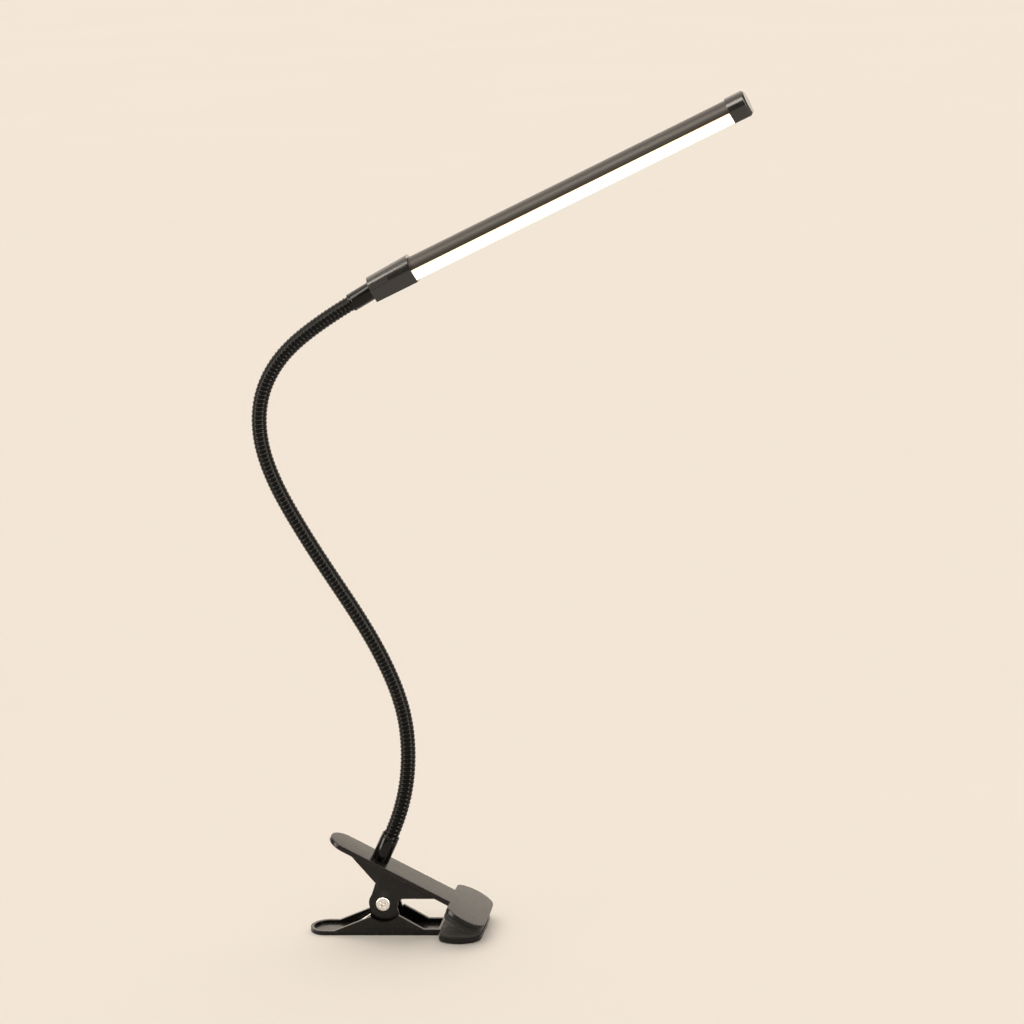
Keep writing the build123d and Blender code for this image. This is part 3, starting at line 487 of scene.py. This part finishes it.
def wound_grid(path, pitch, rows, radius):
    """Points on the hose where row r and step j lie r / RIB_STEPS + j / AROUND turns along it."""
    step = np.arange(AROUND)
    distance = (rows[:, None] / RIB_STEPS + step[None, :] / AROUND - 0.5) * pitch
    spot, heading = path(distance)
    flat = np.zeros_like(distance)
    turn = 2 * pi * step / AROUND
    rise, sideways = np.sin(turn), np.cos(turn)
    radial = np.stack([-heading[..., 1] * rise, flat + sideways, heading[..., 0] * rise], -1)
    centre = np.stack([spot[..., 0], flat, spot[..., 1]], -1)
    return centre + radial * radius[:, None, None], radial


def grid_normals(grid):
    """Outward unit normal at each grid point, from its neighbours along and around."""
    lengthwise = np.gradient(grid, axis=0)
    wrapped_before = np.roll(grid[:, -1:], RIB_STEPS, axis=0)
    wrapped_after = np.roll(grid[:, :1], -RIB_STEPS, axis=0)
    padded = np.concatenate([wrapped_before, grid, wrapped_after], axis=1)
    around = padded[:, 2:] - padded[:, :-2]
    normals = np.cross(around, lengthwise)
    return normals / np.linalg.norm(normals, axis=-1, keepdims=True)


def hose_piece(name, low, high, outer, normals, inner, radial, margin):
    """Closed mesh of the hose from row low to row high, cut off along the winding."""
    verts, index_of, faces, corner_normals = [], {}, [], []

    def corner(grid, row, step):
        """Vertex number at a grid place, where a full turn round moves one rib along."""
        row, step = row + RIB_STEPS * (step // AROUND), step % AROUND
        key = (grid is outer, row, step)
        if key not in index_of:
            index_of[key] = len(verts)
            verts.append(grid[row + margin, step])
        return index_of[key], row + margin, step

    def face(places, shading=None):
        """Adds a face of (grid, row, step) places, its shading read from a grid or flat."""
        corners = [corner(*place) for place in places]
        faces.append([number for number, row, step in corners])
        if shading is None:
            points = np.array([verts[number] for number, row, step in corners])
            flat = np.cross(points[1] - points[0], points[-1] - points[0])
            flat /= np.linalg.norm(flat)
            corner_normals.extend([flat] * len(corners))
        else:
            corner_normals.extend(shading[row, step] for number, row, step in corners)

    for j in range(AROUND):
        for i in range(low, high):
            face([(outer, i, j), (outer, i, j + 1), (outer, i + 1, j + 1), (outer, i + 1, j)], normals)
        for i in range(low, high, RIB_STEPS):
            k = i + RIB_STEPS
            face([(inner, i, j), (inner, k, j), (inner, k, j + 1), (inner, i, j + 1)], -radial)
        face([(outer, low, j), (inner, low, j), (inner, low, j + 1), (outer, low, j + 1)])
        face([(outer, high, j), (outer, high, j + 1), (inner, high, j + 1), (inner, high, j)])
    for row in (low, high):
        step_face = [(outer, row + i, 0) for i in range(RIB_STEPS + 1)]
        step_face += [(inner, row + RIB_STEPS, 0), (inner, row, 0)]
        face(step_face if row == low else step_face[::-1])
    mesh = bpy.data.meshes.new(name)
    mesh.from_pydata([tuple(v) for v in verts], [], faces)
    mesh.shade_smooth()
    mesh.normals_split_custom_set([tuple(n) for n in corner_normals])
    return add_piece(name, mesh, "hose_enamel")


def build_hose():
    """The wound hose in one piece per hinge, each spanning that hinge."""
    start = FERRULE_FACE - ferrule_dir * TUCK
    end = UPPER_FACE + upper_ferrule_dir * TUCK
    path, knots = clamped_spline([start, *hinge_points, end], ferrule_dir, upper_ferrule_dir)
    turns = round(knots[-1] / RIB_PITCH)
    pitch = knots[-1] / turns
    margin = SPARE_TURNS * RIB_STEPS
    rows = np.arange(-margin, turns * RIB_STEPS + 2 * margin)
    crest = HOSE_RADIUS - np.array(RIB_DEPTHS)[rows % RIB_STEPS] * MM
    outer, _ = wound_grid(path, pitch, rows, crest)
    inner, radial = wound_grid(path, pitch, rows, np.full(len(rows), HOSE_BORE))
    normals = grid_normals(outer)
    middles = [(a + b) / 2 for a, b in zip(knots[1:-2], knots[2:-1])]
    cuts = [0, *(round(m / pitch) for m in middles), turns]
    for k, (low, high) in enumerate(zip(cuts[:-1], cuts[1:])):
        name = f"wound_hose_{k + 1:02d}"
        piece = hose_piece(
            name, low * RIB_STEPS, high * RIB_STEPS, outer, normals, inner, radial, margin
        )
        bend_from = TUCK if k == 0 else (low + STIFF_TURNS) * pitch
        bend_to = knots[-1] - TUCK if k == len(cuts) - 2 else (high - STIFF_TURNS) * pitch
        ends = path(np.array([bend_from, bend_to]))[0]
        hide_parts(f"hose_{min(k + 1, len(hinge_points) - 1):02d}")
        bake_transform(piece)


build_hose()

# ---------------------------------------------------------------- ferrules

# all in mm
FERRULE_RADIUS = 5.3
FERRULE_BORE = 2.4
SOCKET_RADIUS = 4.62
SOCKET_DEPTH = 3.4
STUD_RADIUS = 3.0
STUD_REACH = 9.6
# length of the stud without thread, at its tip and under the ferrule
PLAIN_TIP = 0.35
PLAIN_NECK = 0.5
THREAD_PITCH = 0.7
THREAD_DEPTH = 0.3
# heights within one turn of thread where its crest begins and ends and its root begins
CREST_START = 0.22
CREST_END = 0.34
ROOT_START = 0.56
GROMMET_BORE = 1.9
# depth below the rim at which the bore narrows
NARROW_DEPTH = 8


def rim(length):
    """Profile of a ferrule's open end: a crimped neck, a rolled lip and the hose socket."""
    return [
        (length - 2.3, FERRULE_RADIUS), (length - 2.15, FERRULE_RADIUS - 0.05),
        (length - 1.95, FERRULE_RADIUS - 0.2), (length - 1.6, FERRULE_RADIUS - 0.24),
        (length - 1.3, FERRULE_RADIUS - 0.16), (length - 1.1, FERRULE_RADIUS - 0.03),
        (length - 0.9, FERRULE_RADIUS), (length - 0.35, FERRULE_RADIUS),
        (length - 0.16, FERRULE_RADIUS - 0.06), (length - 0.04, FERRULE_RADIUS - 0.2),
        (length, FERRULE_RADIUS - 0.36), (length - 0.05, SOCKET_RADIUS + 0.1),
        (length - 0.18, SOCKET_RADIUS), (length - SOCKET_DEPTH, SOCKET_RADIUS),
        (length - SOCKET_DEPTH, FERRULE_BORE),
    ]


def build_ferrules():
    """The two turned ferrules, the lower one with its hollow threaded stud."""
    length = along("lower_ferrule", FERRULE_FACE, ferrule_dir)
    body = (length[1] - length[0]) / MM - STUD_REACH
    foot = FERRULE_FACE - ferrule_dir * body * MM
    thread = []
    root = STUD_RADIUS - THREAD_DEPTH
    height = -STUD_REACH + PLAIN_TIP
    while height < -PLAIN_NECK:
        thread += [(height, root), (height + CREST_START, STUD_RADIUS)]
        thread += [(height + CREST_END, STUD_RADIUS), (height + ROOT_START, root)]
        height += THREAD_PITCH
    lower = [(-STUD_REACH, GROMMET_BORE), (-STUD_REACH, STUD_RADIUS - 0.45), *thread]
    lower += [(0.0, STUD_RADIUS - 0.1), (0.0, FERRULE_RADIUS - 0.35)]
    lower += [(0.08, FERRULE_RADIUS - 0.13), (0.35, FERRULE_RADIUS), *rim(body)]
    lower += [(body - NARROW_DEPTH, FERRULE_BORE), (body - NARROW_DEPTH, GROMMET_BORE)]
    turned("lower_ferrule_turned", "lower_ferrule", lower, foot, ferrule_dir)

    reach = along("upper_ferrule", UPPER_FACE, upper_ferrule_dir)
    whole = (reach[1] - reach[0]) / MM
    back = UPPER_FACE + upper_ferrule_dir * whole * MM
    upper = [(0.0, FERRULE_BORE), (0.0, FERRULE_RADIUS - 0.4), (0.4, FERRULE_RADIUS)]
    upper += rim(whole)
    turned("upper_ferrule_turned", "upper_ferrule", upper, back, -upper_ferrule_dir)


build_ferrules()

# ---------------------------------------------------------------- rounded CAD shapes

# width of each node's rounded edges in mm
EDGE_WIDTHS = {
    "lower_jaw": 0.28, "upper_jaw": 0.28, "lower_pad": 0.35, "upper_pad": 0.4,
    "pivot_screw": 0.12, "pivot_nut": 0.2, "stud_washer": 0.12, "stud_nut": 0.25,
    "housing": 0.12, "diffuser": 0.12, "led_board": 0.1,
    "led_chips": 0.08, "lead_grommet": 0.15, "grub_screw": 0.08, "pivot_sleeve": 0.1,
}
CAP_EDGE_WIDTH = 0.3
CAP_CREASE = 13

for node, width in EDGE_WIDTHS.items():
    softened(node, width)
for node in ("rear_cap", "end_cap"):
    softened(node, CAP_EDGE_WIDTH, angle=CAP_CREASE)

for node, cad_object in nodes.items():
    cad_object.data.materials.clear()
    cad_object.data.materials.append(looks[slot_of[node]])

# ---------------------------------------------------------------- stage, light and camera

FLOOR_HALF = 40.0
FLOOR_STEPS = 8
BACKDROP = (0.956, 0.847, 0.723)
# the surroundings' strength towards the camera and behind the lamp, and how far a heading
# points along +Y where it begins to rise
WORLD_FRONT = 0.32
WORLD_BACK = 2.2
WORLD_RISE = 0.2
LIGHT_COLOUR = (1.0, 0.905, 0.80)
LIGHT_AIM = (0, 0, 0.25)
SUN_PLACE = (-0.6, 0.5, 2.0)
SUN_STRENGTH = 1.75
SUN_SPREAD = 80
# the tall strips stand this far out to each side, forward and up
STRIP_OUT = 1.25
STRIP_FORWARD = -0.62
STRIP_HEIGHT = 0.45
ABOVE_PLACE = (0.1, -0.7, 1.5)
LEFT_POWER = 40.0
RIGHT_POWER = 50.0
ABOVE_POWER = 24.0


def build_floor():
    """Large pale floor under the clip."""
    mesh = bpy.data.meshes.new("studio_floor")
    bm = bmesh.new()
    bmesh.ops.create_grid(bm, x_segments=FLOOR_STEPS, y_segments=FLOOR_STEPS, size=FLOOR_HALF)
    bm.to_mesh(mesh)
    bm.free()
    floor = bpy.data.objects.new("studio_floor", mesh)
    scene.collection.objects.link(floor)
    floor.location.z = cad_box[0][2]
    m = Shader("floor_card", Specular_IOR_Level=0.1, Roughness=0.9)
    grain = m.mapped(m.noise(3, 3), 0.3, 0.7, 0, 1)
    m.set("Base Color", m.blended(grain, (0.795, 0.785, 0.77), (0.805, 0.795, 0.78)))
    mesh.materials.append(m.material)


def build_light():
    """Even surroundings, brighter behind the lamp, with soft strips beside and above the camera."""
    world = bpy.data.worlds.new("studio")
    scene.world = world
    world.use_nodes = True
    tree = world.node_tree
    background = tree.nodes["Background"]
    background.inputs["Color"].default_value = (*BACKDROP, 1)
    direction = tree.nodes.new("ShaderNodeTexCoord").outputs["Generated"]
    parts = tree.nodes.new("ShaderNodeSeparateXYZ")
    tree.links.new(direction, parts.inputs["Vector"])
    depth = tree.nodes.new("ShaderNodeMapRange")
    for socket, number in zip(depth.inputs[1:5], (WORLD_RISE, 1, WORLD_FRONT, WORLD_BACK)):
        socket.default_value = number
    tree.links.new(parts.outputs["Y"], depth.inputs["Value"])
    tree.links.new(depth.outputs["Result"], background.inputs["Strength"])

    def lamp(kind, name, power, place, **settings):
        """A light at place that points at LIGHT_AIM."""
        data = bpy.data.lights.new(name, kind)
        data.energy = power
        data.color = LIGHT_COLOUR
        for key, value in settings.items():
            setattr(data, key, value)
        obj = bpy.data.objects.new(name, data)
        scene.collection.objects.link(obj)
        obj.location = place
        obj.rotation_euler = (Vector(LIGHT_AIM) - Vector(place)).to_track_quat("-Z", "Y").to_euler()
        return obj

    lamp("SUN", "high_soft", SUN_STRENGTH, SUN_PLACE, angle=radians(SUN_SPREAD), use_shadow=False)
    upright = {"shape": "RECTANGLE", "size": 0.6, "size_y": 2.4}
    flat = {"shape": "RECTANGLE", "size": 1.6, "size_y": 0.6}
    left_place = (-STRIP_OUT, STRIP_FORWARD, STRIP_HEIGHT)
    right_place = (STRIP_OUT, STRIP_FORWARD, STRIP_HEIGHT)
    strips = (
        lamp("AREA", "strip_left", LEFT_POWER, left_place, **upright),
        lamp("AREA", "strip_right", RIGHT_POWER, right_place, **upright),
        lamp("AREA", "strip_above", ABOVE_POWER, ABOVE_PLACE, **flat),
    )
    for strip in strips:
        strip.visible_diffuse = False


CAMERA_PLACE = (0.3700, -1.8242, 0.7029)
CAMERA_AZIMUTH = radians(8.8)
CAMERA_ELEVATION = radians(13.7)
CAMERA_ROLL = radians(3.1)
LENS_MM = 117.2
SENSOR_MM = 36
VIEW_DEPTH = 200


def build_camera():
    """Camera at the photograph's viewing angle."""
    back = Vector((
        sin(CAMERA_AZIMUTH) * cos(CAMERA_ELEVATION),
        -cos(CAMERA_AZIMUTH) * cos(CAMERA_ELEVATION),
        sin(CAMERA_ELEVATION),
    ))
    level = Vector((cos(CAMERA_AZIMUTH), sin(CAMERA_AZIMUTH), 0))
    above = back.cross(level)
    right = level * cos(CAMERA_ROLL) - above * sin(CAMERA_ROLL)
    up = level * sin(CAMERA_ROLL) + above * cos(CAMERA_ROLL)
    data = bpy.data.cameras.new("camera")
    data.lens = LENS_MM
    data.sensor_width = SENSOR_MM
    data.clip_end = VIEW_DEPTH
    camera = bpy.data.objects.new("camera", data)
    scene.collection.objects.link(camera)
    turn = Matrix((right, up, back)).transposed().to_4x4()
    camera.matrix_world = Matrix.Translation(Vector(CAMERA_PLACE)) @ turn
    scene.camera = camera


build_floor()
build_light()
build_camera()
scene.view_settings.view_transform = "Standard"
